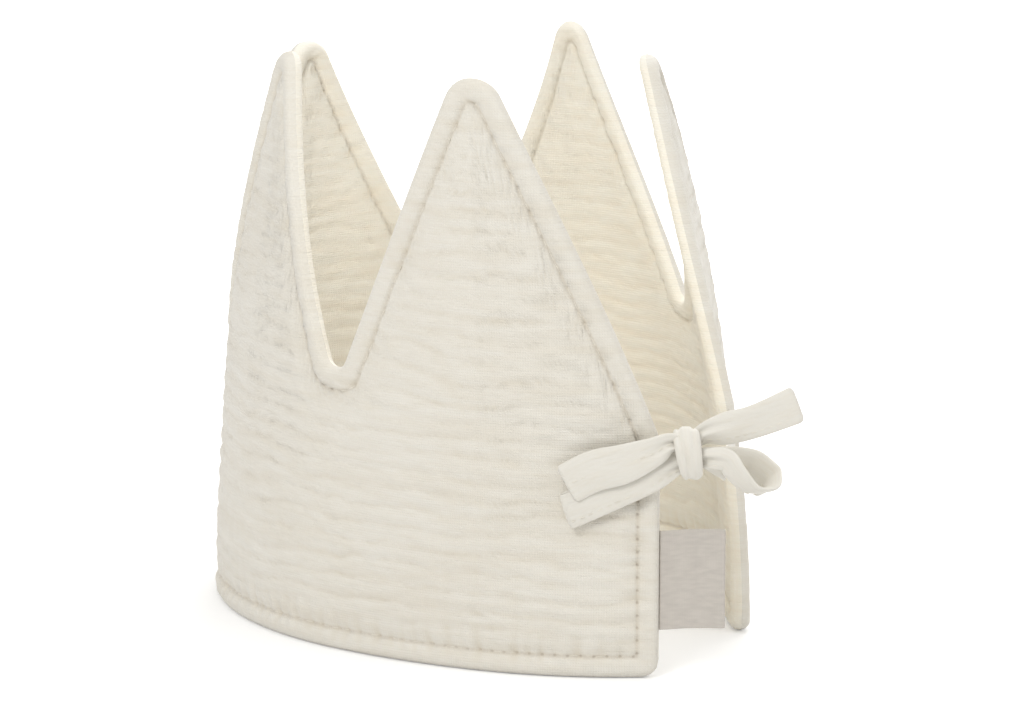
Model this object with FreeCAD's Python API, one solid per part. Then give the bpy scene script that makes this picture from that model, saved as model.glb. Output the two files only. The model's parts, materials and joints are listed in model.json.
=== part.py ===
"""Baby's fabric party crown: a padded, hemmed cotton band with five points, closed by two ties in a bow.

The band is drawn as a flat pattern, with distances measured along the band from its near end, and then
stood on its lower edge round the plan curve. Band and ties are skinned from one closed section to the next.
"""
import FreeCAD, Part
import math
import os

from FreeCAD import Vector

# Flat pattern of the band, in millimetres
POINT_COUNT = 5            # triangular points round the crown
POINT_WIDTH = 89.0         # one point, measured along the band
BAND_HEIGHT = 57.0         # lower edge to the sharp corner of a valley
POINT_RISE = 94.0          # that corner to the sharp apex of a point
TIP_RADIUS = 6.0           # rounding of each point in the flat pattern
VALLEY_RADIUS = 8.0        # rounding of each valley
CORNER_RADIUS = 4.5        # rounding of the lower corner at both ends

# Thickness of the sewn layers
EDGE_THICKNESS = 1.6       # flat seam along the outline, which the band stands on
ROLL_THICKNESS = 4.8       # puffy hem between the outline and the stitching
GROOVE_THICKNESS = 2.4     # where the top-stitching pulls the layers together
PAD_THICKNESS = 4.4        # padded cloth away from the hem
HEM_WIDTH = 5.5            # outline to the stitched groove
PAD_SLOPE = 5.0            # groove to full padding

# Plan of the standing band: it starts at the near end and turns clockwise, seen from above
START_HEADING = 187.0      # direction of the band at its near end, degrees from +X
TURNS = (30, 18, 27, 29, 35, 37, 36, 46, 25, -15)     # degrees turned over each tenth of the band
LEAN_PLACES = (0.0, 0.1, 0.3, 0.5, 0.7, 0.9, 1.0)     # near end, the five points, far end
LEANS = (1.0, -6.0, 17.0, 0.0, 25.0, 29.0, 37.0)      # inward lean there, at the height of an apex
LEAN_POWER = 1.5           # the lean grows with this power of the height

# Ties: flat sewn cotton tubes
TIE_WIDTH = 10.0
TIE_THICKNESS = 1.2
TIE_ROOT_WIDTH = 8.0       # width where a tie is sewn into an end of the band
TIE_ROOT_DROP = 5.5        # centre of that seam below the top corner of the end

# Knot: the near tie wraps the far tie
KNOT_FORWARD = 7.5         # centre of the knot past the near end, along X
KNOT_OUT = 5.8             # and out from the foot of that end, towards the front
KNOT_DROP = 3.5            # and below the top corner of that end
KNOT_LENGTH = 7.0          # along X
KNOT_HEIGHT = 11.2
KNOT_DEPTH = 8.4
WRAP_THICKNESS = 1.7
KNOT_CLEARANCE = 0.05      # the wrap round the far tie
KNOT_SHOULDER = 0.84       # size of the wrap's two ends, as a share of its middle
OVAL_SIDES = 20            # flats round the knot

# Side label: a ribbon folded in two and sewn into the near end
LABEL_HEIGHT = 25.0
LABEL_LENGTH = 16.5        # seen outside the seam
LABEL_BOTTOM = 12.0        # above the lower edge of the band
RIBBON_THICKNESS = 0.35
LABEL_GAP = 0.3            # between the two leaves of the fold

UP = Vector(0, 0, 1)
BAND_LENGTH = POINT_COUNT * POINT_WIDTH
HALF_POINT = POINT_WIDTH / 2
APEX_HEIGHT = BAND_HEIGHT + POINT_RISE
KNOT_CENTRE = Vector(KNOT_FORWARD, -KNOT_OUT, BAND_HEIGHT - KNOT_DROP)
STEEPNESS = math.atan2(POINT_RISE, HALF_POINT)        # angle of a point's side above the horizontal


def upper_edge(along, inset=0.0):
    """Height of the upper outline at a distance along the band, or of its offset line inside the cloth."""
    from_valley = abs((along + HALF_POINT) % POINT_WIDTH - HALF_POINT)
    from_tip = HALF_POINT - from_valley
    tip = TIP_RADIUS - inset
    valley = VALLEY_RADIUS + inset
    if tip > 0 and from_tip < tip * math.sin(STEEPNESS):
        return APEX_HEIGHT - TIP_RADIUS / math.cos(STEEPNESS) + math.sqrt(tip ** 2 - from_tip ** 2)
    inner_valley = HALF_POINT < along < BAND_LENGTH - HALF_POINT
    if inner_valley and from_valley < valley * math.sin(STEEPNESS):
        return BAND_HEIGHT + VALLEY_RADIUS / math.cos(STEEPNESS) - math.sqrt(valley ** 2 - from_valley ** 2)
    return BAND_HEIGHT + from_valley * math.tan(STEEPNESS) - inset / math.cos(STEEPNESS)


def lower_edge(along):
    """Height of the lower outline, which is rounded up at both ends."""
    into_corner = CORNER_RADIUS - min(along, BAND_LENGTH - along)
    if into_corner <= 0:
        return 0.0
    return CORNER_RADIUS - math.sqrt(CORNER_RADIUS ** 2 - into_corner ** 2)


def thickness(inset):
    """Thickness of the sewn layers at a distance inside the outline."""
    if inset < HEM_WIDTH:
        roll = math.sin(math.pi * (inset / HEM_WIDTH) ** 0.7)
        base = EDGE_THICKNESS + (GROOVE_THICKNESS - EDGE_THICKNESS) * inset / HEM_WIDTH
        return base + (ROLL_THICKNESS - base) * roll
    rise = min((inset - HEM_WIDTH) / PAD_SLOPE, 1.0)
    return GROOVE_THICKNESS + (PAD_THICKNESS - GROOVE_THICKNESS) * math.sin(math.pi / 2 * rise)


def plan_point(along):
    """Foot of the band in plan, and the direction the band runs in there."""
    arc_length = BAND_LENGTH / len(TURNS)
    foot = Vector(0, 0, 0)
    heading = math.radians(START_HEADING)
    for turn in TURNS:
        step = min(max(along, 0.0), arc_length)
        bend = math.radians(turn) * step / arc_length
        chord = step * (math.sin(bend / 2) / (bend / 2) if bend else 1.0)
        foot += Vector(math.cos(heading - bend / 2), math.sin(heading - bend / 2), 0) * chord
        heading -= bend
        along -= arc_length
    return foot, Vector(math.cos(heading), math.sin(heading), 0)


def lean_at(along):
    """Inward lean at apex height, eased from each named place to the next."""
    place = along / BAND_LENGTH
    for i in range(len(LEAN_PLACES) - 1):
        if place <= LEAN_PLACES[i + 1] or i == len(LEAN_PLACES) - 2:
            share = (place - LEAN_PLACES[i]) / (LEAN_PLACES[i + 1] - LEAN_PLACES[i])
            eased = (1 - math.cos(math.pi * min(max(share, 0.0), 1.0))) / 2
            return LEANS[i] + (LEANS[i + 1] - LEANS[i]) * eased


def stand(along, height, outward):
    """A point of the flat pattern, moved outward from the middle layer, on the standing crown."""
    foot, heading = plan_point(along)
    outer = Vector(-heading.y, heading.x, 0)
    lean = lean_at(along) * (max(height, 0.0) / APEX_HEIGHT) ** LEAN_POWER
    return foot + outer * (outward - lean) + UP * height


def skin(sections):
    """Solid whose surface runs from each closed section to the next in flat facets, two to a side."""
    faces = [Part.Face(Part.makePolygon(section + section[:1])) for section in (sections[0], sections[-1])]
    for near, far in zip(sections, sections[1:]):
        for i in range(len(near)):
            j = (i + 1) % len(near)
            for corners in ((near[i], near[j], far[j]), (near[i], far[j], far[i])):
                faces.append(Part.Face(Part.makePolygon(corners + corners[:1])))
    shell = Part.makeShell(faces)
    shell.sewShape()
    solid = Part.makeSolid(shell)
    if solid.Volume < 0:
        solid.reverse()
    return solid


EDGE_INSETS = (0.0, HEM_WIDTH * 0.13, HEM_WIDTH * 0.38, HEM_WIDTH * 0.68, HEM_WIDTH,
               HEM_WIDTH + PAD_SLOPE * 0.4, HEM_WIDTH + PAD_SLOPE)
MIDDLE_LEVELS = 3


def band_section(along):
    """Closed vertical section across the band, with a flat seam above and below."""
    end_inset = min(along, BAND_LENGTH - along)
    foot = lower_edge(along)
    levels = [(foot + inset, inset) for inset in EDGE_INSETS]
    top_levels = [(upper_edge(along, inset), inset) for inset in reversed(EDGE_INSETS)]
    low, high = levels[-1][0], top_levels[0][0]
    for i in range(1, MIDDLE_LEVELS + 1):
        levels.append((low + (high - low) * i / (MIDDLE_LEVELS + 1), EDGE_INSETS[-1]))
    levels += top_levels
    outer = [stand(along, z, thickness(min(inset, end_inset)) / 2) for z, inset in levels]
    inner = [stand(along, z, -thickness(min(inset, end_inset)) / 2) for z, inset in levels]
    return outer + inner[::-1]


def band_stations():
    """Distances along the band of the lofted sections, closer together where the outline is rounded."""
    tip_reach = TIP_RADIUS * math.sin(STEEPNESS)
    valley_reach = VALLEY_RADIUS * math.sin(STEEPNESS)
    side = [valley_reach * share for share in (0.0, 0.5, 1.0)]
    side += [valley_reach + (HALF_POINT - tip_reach - valley_reach) * i / 4 for i in range(1, 5)]
    side += [HALF_POINT - tip_reach * share for share in (0.5,)]
    stations = set()
    for i in range(POINT_COUNT):
        start = i * POINT_WIDTH
        stations.update(start + distance for distance in side + [HALF_POINT])
        stations.update(start + POINT_WIDTH - distance for distance in side)
    for distance in EDGE_INSETS[1:]:
        stations.update((distance, BAND_LENGTH - distance))
    spaced = [0.0]
    for distance in sorted(stations):
        if distance - spaced[-1] > 0.6 and BAND_LENGTH - distance > 0.6:
            spaced.append(distance)
    return spaced + [BAND_LENGTH]


def crown_band():
    return skin([band_section(along) for along in band_stations()])


def flat_tube_section(centre, forward, width, tilt):
    """Section of a flattened tie: two flat faces with thinner folded edges. Tilt is from upright, to the left."""
    forward = Vector(forward).normalize()
    across = Vector(-math.sin(math.radians(tilt)), 0, math.cos(math.radians(tilt)))
    across = (across - forward * across.dot(forward)).normalize()
    face = forward.cross(across)
    half = TIE_THICKNESS / 2
    outline = [(width / 2 - half, half), (half - width / 2, half), (-width / 2, 0),
               (half - width / 2, -half), (width / 2 - half, -half), (width / 2, 0)]
    return [centre + across * reach + face * depth for reach, depth in outline]


def strand(stations, first_forward=None, last_forward=None):
    """Tie cloth lofted along its run. Each station is a centre, a width and a tilt from upright."""
    centres = [centre for centre, width, tilt in stations]
    sections = []
    for i, (centre, width, tilt) in enumerate(stations):
        forward = centres[min(i + 1, len(centres) - 1)] - centres[max(i - 1, 0)]
        if i == 0 and first_forward:
            forward = first_forward
        if i == len(centres) - 1 and last_forward:
            forward = last_forward
        sections.append(flat_tube_section(centre, forward, width, tilt))
    return skin(sections)


def from_knot(x, y, z):
    return KNOT_CENTRE + Vector(x, y, z)


def oval(centre, height, depth):
    """Upright oval, as a many-sided section in the plane across the knot."""
    corners = []
    for i in range(OVAL_SIDES):
        angle = 2 * math.pi * i / OVAL_SIDES
        corners.append(centre + Vector(0, depth / 2 * math.cos(angle), height / 2 * math.sin(angle)))
    return corners


def knot_wrap():
    """Barrel-shaped turn of the near tie, open along its middle for the far tie."""
    rings = []
    for share, size in ((-0.5, KNOT_SHOULDER), (-0.3, 0.97), (0.0, 1.0), (0.3, 0.97), (0.5, KNOT_SHOULDER)):
        rings.append(oval(from_knot(share * KNOT_LENGTH, 0, 0), KNOT_HEIGHT * size, KNOT_DEPTH * size))
    return skin(rings)


def knot_core(clearance, length):
    """Gathered cloth of the far tie inside the wrap."""
    height = KNOT_HEIGHT * KNOT_SHOULDER - 2 * WRAP_THICKNESS - 2 * clearance
    depth = KNOT_DEPTH * KNOT_SHOULDER - 2 * WRAP_THICKNESS - 2 * clearance
    rings = [oval(from_knot(side * length / 2, 0, 0), height, depth) for side in (-1, 1)]
    return skin(rings)


def sewn_together(first, others):
    for other in others:
        first = first.fuse(other)
    return first


def end_root(along):
    """Where a tie is sewn into an end of the band, and the direction in which it leaves."""
    foot, heading = plan_point(along)
    leaves = heading * (-1 if along == 0 else 1)
    return stand(along, BAND_HEIGHT - TIE_ROOT_DROP, 0), leaves


def near_tie(far):
    """Lead over the near end, wrap, flat loop to the left and tail to the right."""
    root, leaves = end_root(0.0)
    lead = strand([
        (root, TIE_ROOT_WIDTH, 0),
        (root + leaves * 2.4 + Vector(0, -1.0, 1.4), 7.5, 0),
        (from_knot(-2.6, 3.0, 1.4), 6.0, 0),
        (from_knot(-0.4, 2.4, 2.3), 5.0, 0)], first_forward=leaves)
    bend = (from_knot(-31.6, -0.4, -9.4), TIE_WIDTH, 24)
    loop_back = strand([
        (from_knot(-1.5, 2.6, -0.8), 5.0, 10),
        (from_knot(-7.0, 1.4, -1.6), 7.5, 18),
        (from_knot(-16.0, 0.7, -4.6), TIE_WIDTH, 22),
        (from_knot(-29.0, 0.9, -8.6), TIE_WIDTH, 24),
        (from_knot(-31.0, 0.5, -9.2), TIE_WIDTH, 24),
        bend], last_forward=Vector(0, -1, 0))
    loop_front = strand([
        bend,
        (from_knot(-31.0, -1.3, -9.2), TIE_WIDTH, 24),
        (from_knot(-29.0, -1.7, -8.6), TIE_WIDTH, 24),
        (from_knot(-16.0, -1.2, -4.8), TIE_WIDTH, 22),
        (from_knot(-8.0, 0.2, -2.0), 7.5, 18),
        (from_knot(-5.0, 1.6, -1.2), 6.0, 14)], first_forward=Vector(0, -1, 0))
    tail = strand([
        (from_knot(1.0, 2.6, 1.4), 5.0, -10),
        (from_knot(5.5, 3.0, 4.6), 7.0, -16),
        (from_knot(13.0, 4.5, 8.6), TIE_WIDTH - 0.5, -20),
        (from_knot(27.5, 7.5, 13.4), TIE_WIDTH, -20)])
    wrap = knot_wrap().cut(knot_core(0.0, KNOT_LENGTH * 2))
    return sewn_together(wrap, [lead, loop_back, loop_front, tail]).cut(far)


def far_tie():
    """Lead from the far end, core of the knot, tail to the left and open loop to the right."""
    root, leaves = end_root(BAND_LENGTH)
    mouth = KNOT_LENGTH / 2
    lead = strand([
        (root, TIE_ROOT_WIDTH, 0),
        (root + leaves * 6.0, TIE_ROOT_WIDTH, 0),
        (from_knot(6.0, 14.0, -4.0), 7.0, 0),
        (from_knot(mouth + 3.2, 3.4, -2.4), 4.5, 0),
        (from_knot(mouth + 1.2, 0.9, -1.2), 3.6, 0),
        (from_knot(mouth - 0.5, 0.3, -0.6), 3.0, 0)], first_forward=leaves)
    tail = strand([
        (from_knot(-mouth + 0.4, -0.4, 0.2), 4.0, 0),
        (from_knot(-mouth - 3.0, -2.4, 1.2), 6.5, 8),
        (from_knot(-12.0, -3.8, 0.6), 9.5, 14),
        (from_knot(-21.0, -4.2, -1.2), TIE_WIDTH, 20),
        (from_knot(-31.5, -4.0, -3.4), TIE_WIDTH, 24)])
    bend = (from_knot(22.8, 0.0, -4.2), 9.0, 8)
    loop_front = strand([
        (from_knot(mouth - 0.4, -0.5, 0.0), 4.0, 0),
        (from_knot(mouth + 4.5, -3.2, -1.0), 8.0, 8),
        (from_knot(14.5, -4.2, -2.6), 9.0, 14),
        (from_knot(20.2, -3.1, -3.8), 9.0, 12),
        (from_knot(22.2, -1.6, -4.1), 9.0, 10),
        bend], last_forward=Vector(0, 1, 0))
    loop_back = strand([
        bend,
        (from_knot(22.2, 1.6, -4.0), 9.0, 8),
        (from_knot(20.2, 2.9, -3.6), 9.0, 6),
        (from_knot(14.0, 2.8, -2.0), 9.0, 4),
        (from_knot(mouth + 3.0, 1.0, -0.4), 6.0, 4),
        (from_knot(mouth - 0.3, 0.4, 0.0), 4.0, 0)], first_forward=Vector(0, 1, 0))
    return sewn_together(knot_core(KNOT_CLEARANCE, KNOT_LENGTH + 1.0), [lead, tail, loop_front, loop_back])


def side_label():
    """Woven ribbon folded back on itself, its two leaves butted into the seam of the near end."""
    foot, heading = plan_point(0.0)
    leaves = heading * -1
    outer = Vector(-heading.y, heading.x, 0)
    half = RIBBON_THICKNESS + LABEL_GAP / 2

    def ribbon_fold(reach, radius):
        fold = leaves * (reach - radius)
        side = outer * radius
        return Part.Face(Part.Wire([
            Part.LineSegment(side, fold + side).toShape(),
            Part.Arc(fold + side, fold + leaves * radius, fold - side).toShape(),
            Part.LineSegment(fold - side, side * -1).toShape(),
            Part.LineSegment(side * -1, side).toShape()]))

    outline = ribbon_fold(LABEL_LENGTH, half)
    hollow = ribbon_fold(LABEL_LENGTH - RIBBON_THICKNESS, LABEL_GAP / 2)
    label = outline.cut(hollow).extrude(UP * LABEL_HEIGHT)
    middle = stand(0.0, LABEL_BOTTOM + LABEL_HEIGHT / 2, 0)
    label.translate(Vector(middle.x, middle.y, LABEL_BOTTOM))
    return label


def main():
    os.makedirs("parts", exist_ok=True)
    far = far_tie()
    pieces = {
        "crown_band": crown_band(),
        "near_tie": near_tie(far),
        "far_tie": far,
        "side_label": side_label()}
    box = Part.makeCompound(list(pieces.values())).BoundBox
    for name, shape in pieces.items():
        shape.translate(Vector(-box.Center.x, -box.Center.y, 0))
        shape.exportStep("parts/" + name + ".step")
        print(name, "valid", shape.isValid(), "solids", len(shape.Solids), "volume", round(shape.Volume, 1),
              "facets", len(shape.tessellate(0.1)[1]))


main()
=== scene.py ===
"""Baby's fabric party crown: padded gauze band with five points, cotton ties in a bow and a side label.

The band's two cloths are cut to a flat pattern, measured along the band from its near end. They are then
stood on the plan curve of the solid band. The ties are flat sewn tubes, each run given by its two edges.
"""
import bisect
import json
import math
from collections import namedtuple

import bmesh
import bpy
from bpy.props import FloatProperty, FloatVectorProperty, PointerProperty
from bpy.types import Operator, Panel, PropertyGroup
from mathutils import Matrix, Vector, noise


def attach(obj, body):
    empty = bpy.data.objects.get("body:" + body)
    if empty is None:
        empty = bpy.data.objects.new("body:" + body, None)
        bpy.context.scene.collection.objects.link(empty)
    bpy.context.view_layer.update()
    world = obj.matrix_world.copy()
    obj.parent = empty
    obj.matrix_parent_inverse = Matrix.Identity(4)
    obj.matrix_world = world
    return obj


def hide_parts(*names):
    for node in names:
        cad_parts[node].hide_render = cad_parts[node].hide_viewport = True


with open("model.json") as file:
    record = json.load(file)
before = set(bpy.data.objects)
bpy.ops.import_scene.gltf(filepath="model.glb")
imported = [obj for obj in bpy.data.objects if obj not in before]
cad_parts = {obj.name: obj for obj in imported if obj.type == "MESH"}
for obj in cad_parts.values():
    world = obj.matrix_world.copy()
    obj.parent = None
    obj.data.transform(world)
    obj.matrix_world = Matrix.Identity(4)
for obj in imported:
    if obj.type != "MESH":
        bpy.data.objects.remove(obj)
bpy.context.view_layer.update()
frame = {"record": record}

bl_info = {
    "name": "Fabric party crown",
    "version": (1, 0, 0),
    "blender": (4, 5, 0),
    "location": "View3D > Sidebar > Crown",
    "description": "Sews a padded gauze crown with stitched hem, bow and label",
    "category": "Object",
}

MM = 0.001

# Plan of the solid band: ten equal arcs, each given by its turn in degrees
POINT_COUNT = 5
START_HEADING = 187.0
TURNS = (30, 18, 27, 29, 35, 37, 36, 46, 25, -15)

# Shares of the band's length, with the inward lean of an apex in mm, the power of the height that the lean
# grows with, and the extra rise of an apex in mm, because the points are sewn a little unequal
LEAN_PLACES = (0.0, 0.1, 0.3, 0.5, 0.7, 0.9, 1.0)
LEANS = (-4.0, -7.1, 15.9, 2.4, 22.2, 26.4, 31.0)
LEAN_POWERS = (1.5, 1.5, 1.5, 1.5, 1.5, 1.9, 2.0)
EXTRA_RISES = (4.4, 5.4, 2.6, -5.3, 0.9, -1.1, -1.1)

# Fineness of the meshes, and of the walks along a curve that space things evenly
COLUMNS = 700
HEM_ROWS = 10
SLOPE_ROWS = 5
MIDDLE_ROWS = 111
ROWS = 2 * (HEM_ROWS + SLOPE_ROWS) + MIDDLE_ROWS
TIE_ROUNDS = 44
TIE_STEP = 0.45 * MM
KNOT_STEP = 0.4 * MM
KNOT_TURNS = 24
LABEL_RUNS = 160
LABEL_RISES = 90
WALK_STEPS = 400
STITCH_WALK_STEPS = 300

# Thickness of the wrapped knot
KNOT_THICKNESS = 1.7 * MM

# How strongly the needle holes show: along the top, at both ends, and on the lower hem near and far
TOP_PULL = 0.06
END_PULL = 0.42
NEAR_PULL = 0.36
FAR_PULL = 0.02

# Stitching of the ties, and the rounded selvages of the label's ribbon
TIE_STITCH_PITCH = 2.2 * MM
TIE_STITCH_LENGTH = 1.5 * MM
SELVAGE = 0.06 * MM
SELVAGE_ROWS = 2

# Lamps: name, place and target in metres, size in metres and power in watts
LAMPS = (
    ("key_light", (-0.5, -1.05, 0.85), (0, 0, 0.06), 0.6, 7.4),
    ("right_light", (1.0, -0.6, 0.8), (0, 0, 0.06), 0.8, 2.0),
    ("back_light", (0.4, 1.15, 0.95), (0, 0, 0.06), 1.2, 13.0),
    ("top_light", (0.1, -0.1, 1.5), (0, 0.03, 0.05), 1.0, 4.0),
)
AMBIENT_STRENGTH = 0.50
WHITE = (1.0, 1.0, 1.0, 1.0)

# Camera, fitted to the photograph: its place in metres, its pitch in degrees down, its lens in mm and in
# pixels of the photograph, and how many pixels its aim lies to the right of and above that pitch
CAMERA_PLACE = (0.0118, -1.3330, 0.3164)
CAMERA_PITCH = 10.7
FOCAL_LENGTH = 182.9
FOCAL_PIXELS = 5202
AIM_PIXELS = (-34.9, 4.4)

Station = namedtuple("Station", "along foot outer lean power extra")
Run = namedtuple("Run", "edges near_pleats far_pleats folds end_radius")


def length(name, description, millimetres):
    return FloatProperty(name=name, description=description, default=millimetres * MM, min=0.0,
                         unit="LENGTH", subtype="DISTANCE", precision=5)


def colour(name, description, red, green, blue):
    return FloatVectorProperty(name=name, description=description, default=(red, green, blue), size=3,
                               min=0.0, max=1.0, subtype="COLOR")


class CrownSizes(PropertyGroup):
    """Sizes of the cloth, the stitches, the ties and the label."""
    point_width: length("Point width", "One point, measured along the band", 89.0)
    band_height: length("Band height", "Lower edge to the sharp corner of a valley", 60.0)
    point_rise: length("Point rise", "Corner of a valley to the sharp apex of a point", 94.5)
    tip_radius: length("Tip radius", "Rounding of each point in the flat pattern", 7.5)
    valley_radius: length("Valley radius", "Rounding of each valley", 4.5)
    valley_lift: length("Valley lift", "How far the seam draws each inner valley up", 6.9)
    side_bulge: length("Side bulge", "How far the outer side of each end point swells", 2.2)
    corner_radius: length("Corner radius", "Rounding of the lower corners at both ends", 4.5)
    hem_width: length("Hem width", "Outline to the stitched groove", 5.5)
    roll_thickness: length("Hem thickness", "Puffy hem between outline and stitching", 4.8)
    groove_thickness: length("Groove thickness", "Where the stitching pulls the cloths together", 1.9)
    pad_thickness: length("Pad thickness", "Padded cloth away from the hem", 4.4)
    pad_slope: length("Pad slope", "Groove to full padding", 5.0)
    crinkle_height: length("Crinkle height", "Depth of the gauze's crinkles", 0.38)
    pucker_height: length("Pucker height", "Depth of the puckers beside the stitching", 0.5)
    crinkle_pitch: length("Crinkle pitch", "From one sideways crinkle to the next", 4.9)
    pucker_pitch: length("Pucker pitch", "From one pucker to the next", 4.3)
    stitch_pitch: length("Stitch pitch", "From one stitch to the next", 3.2)
    stitch_length: length("Stitch length", "Thread that shows between two holes", 2.3)
    thread_thickness: length("Thread thickness", "Thickness of the sewing thread", 0.26)
    tie_thickness: length("Tie thickness", "Flattened tie, both layers", 1.2)
    tie_width: length("Tie width", "Flattened tie, edge to edge", 10.0)
    label_height: length("Label height", "Width of the woven ribbon", 25.0)
    label_length: length("Label length", "Ribbon seen outside the seam", 16.5)
    label_bottom: length("Label bottom", "Lower edge of the label above the floor", 12.0)
    ribbon_thickness: length("Ribbon thickness", "One leaf of the label", 0.35)


class CrownColours(PropertyGroup):
    """Colours of the cloths, the thread, the label and the stage."""
    gauze: colour("Gauze", "Outer cloth", 0.785, 0.758, 0.69)
    # Painted shade for crinkle hollows, crinkle streaks and tie creases, and also the darker tone of random
    # patches, the weave, slubs and thread twist
    gauze_dip: colour("Gauze dip", "Cloth in the bottom of a crinkle", 0.69, 0.63, 0.52)
    # The lining is the same gauze as the outer cloth, painted lighter as painted light so that the shaded
    # inside shows as bright as the outside
    lining: colour("Lining", "Inner cloth", 0.94, 0.912, 0.82)
    # Painted shade for the lining's crinkle hollows and streaks, also its darker random tone and weave,
    # lightened as painted light like the lining
    lining_dip: colour("Lining dip", "Inner cloth in the bottom of a crinkle", 0.90, 0.81, 0.66)
    cotton: colour("Tie cotton", "Smooth cotton of the ties", 0.75, 0.725, 0.66)
    thread: colour("Thread", "Sewing thread", 0.80, 0.765, 0.68)
    groove: colour("Groove", "Shaded cloth along the stitching", 0.50, 0.42, 0.31)
    hole: colour("Needle hole", "Shaded cloth in a needle hole", 0.24, 0.18, 0.12)
    label: colour("Label", "Woven ribbon", 0.60, 0.557, 0.505)
    floor: colour("Floor", "Floor under the crown", 0.86, 0.86, 0.86)


def sizes():
    return bpy.context.scene.crown_sizes


def colours():
    return bpy.context.scene.crown_colours


def smooth_step(low, high, value):
    """Eased rise from 0 to 1 between two values."""
    share = min(max((value - low) / (high - low), 0.0), 1.0)
    return share * share * (3 - 2 * share)


def bell(distance, width):
    """Fading from 1 at no distance to almost 0 at twice the width."""
    return math.exp(-(distance / width) ** 2)


def ripple(x, y, z):
    """Smooth noise at a place, from -1 to 1, the same in every run."""
    return noise.noise(Vector((x, y, z)))


class Band:
    """Flat pattern of the band, and where each point of it stands."""

    def __init__(self):
        given = sizes()
        for name in CrownSizes.__annotations__:
            setattr(self, name, getattr(given, name))
        self.length = POINT_COUNT * self.point_width
        self.half_point = self.point_width / 2
        self.apex_height = self.band_height + self.point_rise
        self.steepness = math.atan2(self.point_rise, self.half_point)
        self.slant = 1 / math.cos(self.steepness)
        lower = next(mount for mount in frame["record"]["mounts"] if mount["name"] == "lower_edge")
        self.shift = Vector(lower["pos_m"]) - self.station(self.half_point).foot
        self.top_walk = [0.0]
        tops = [self.upper_edge(self.length * i / COLUMNS, self.hem_width) for i in range(COLUMNS + 1)]
        for near, far in zip(tops, tops[1:]):
            self.top_walk.append(self.top_walk[-1] + math.hypot(self.length / COLUMNS, far - near))

    def upper_edge(self, along, inset=0.0):
        """Height of the upper outline, or of the line that runs inside it at an inset."""
        inner = self.half_point < along < self.length - self.half_point
        from_valley = abs((along + self.half_point) % self.point_width - self.half_point)
        share = from_valley / self.half_point
        if inner:
            softened = math.hypot(share, 0.1)       # keeps the bottom of the valley free of a cusp
            drawn = self.valley_lift * (1 - softened) ** 2
        else:
            drawn = self.side_bulge * 27 / 4 * share * (1 - share) ** 2     # greatest a third of the way up
        return drawn + self.cut_edge(from_valley, inner, inset)

    def nearest_seam(self, along, height):
        """Inset from the nearest outline above or below, and the place around the seam there."""
        low_gap = height - self.lower_edge(along)
        high_gap = (self.upper_edge(along) - height) / self.slant
        if low_gap < high_gap:
            return low_gap, along
        return high_gap, self.around_top(along, high_gap)

    def around_top(self, along, inset):
        """Place along the upper stitching that lies squarely opposite a point at an inset."""
        column = along / self.length * COLUMNS
        low = min(int(column), COLUMNS - 1)
        walk = self.top_walk[low] + (self.top_walk[low + 1] - self.top_walk[low]) * (column - low)
        rising = 1 if along % self.point_width < self.half_point else -1
        return walk - rising * (inset - self.hem_width) * math.tan(self.steepness)

    def cut_edge(self, from_valley, inner, inset):
        """Upper outline as cut: straight sides with rounded points and rounded inner valleys."""
        from_tip = self.half_point - from_valley
        tip = self.tip_radius - inset
        valley = self.valley_radius + inset
        if tip > 0 and from_tip < tip * math.sin(self.steepness):
            return self.apex_height - self.tip_radius * self.slant + math.sqrt(tip ** 2 - from_tip ** 2)
        if inner and from_valley < valley * math.sin(self.steepness):
            return (self.band_height + self.valley_radius * self.slant
                    - math.sqrt(valley ** 2 - from_valley ** 2))
        return self.band_height + from_valley * math.tan(self.steepness) - inset * self.slant

    def lower_edge(self, along):
        """Height of the lower outline, rounded up at both ends."""
        into_corner = self.corner_radius - min(along, self.length - along)
        if into_corner <= 0:
            return 0.0
        return self.corner_radius - math.sqrt(max(self.corner_radius ** 2 - into_corner ** 2, 0.0))

    def half_thickness(self, inset):
        """Half the thickness of the sewn layers at an inset: full hem, crisp groove, flat padding."""
        if inset < self.hem_width:
            share = (inset / self.hem_width) ** 0.85
            base = self.groove_thickness * smooth_step(0, 0.35, share)
            swell = (self.roll_thickness ** 2 - self.groove_thickness ** 2) * (1 - (2 * share - 1) ** 2)
            return math.sqrt(base ** 2 + max(swell, 0.0)) / 2
        rise = min((inset - self.hem_width) / self.pad_slope, 1.0)
        swell = math.sin(math.pi / 2 * rise) ** 0.65
        return (self.groove_thickness + (self.pad_thickness - self.groove_thickness) * swell) / 2

    def plan(self, along):
        """Foot of the band on its plan curve, and the outward direction there."""
        arc_length = self.length / len(TURNS)
        foot = Vector((0, 0, 0))
        heading = math.radians(START_HEADING)
        rest = along
        for turn in TURNS:
            step = min(max(rest, 0.0), arc_length)
            bend = math.radians(turn) * step / arc_length
            chord = step * (math.sin(bend / 2) / (bend / 2) if bend else 1.0)
            foot += Vector((math.cos(heading - bend / 2), math.sin(heading - bend / 2), 0)) * chord
            heading -= bend
            rest -= arc_length
        return foot, Vector((-math.sin(heading), math.cos(heading), 0))

    def station(self, along):
        """The band at a distance along: foot, outward direction, and how an apex there leans and rises."""
        place = along / self.length
        section = max(i for i in range(len(LEAN_PLACES) - 1) if place >= LEAN_PLACES[i] or i == 0)
        share = (place - LEAN_PLACES[section]) / (LEAN_PLACES[section + 1] - LEAN_PLACES[section])
        eased = (1 - math.cos(math.pi * min(max(share, 0.0), 1.0))) / 2
        lean, power, extra = (values[section] + (values[section + 1] - values[section]) * eased
                              for values in (LEANS, LEAN_POWERS, EXTRA_RISES))
        foot, outer = self.plan(along)
        return Station(along, foot, outer, lean * MM, power, extra * MM)

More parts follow.
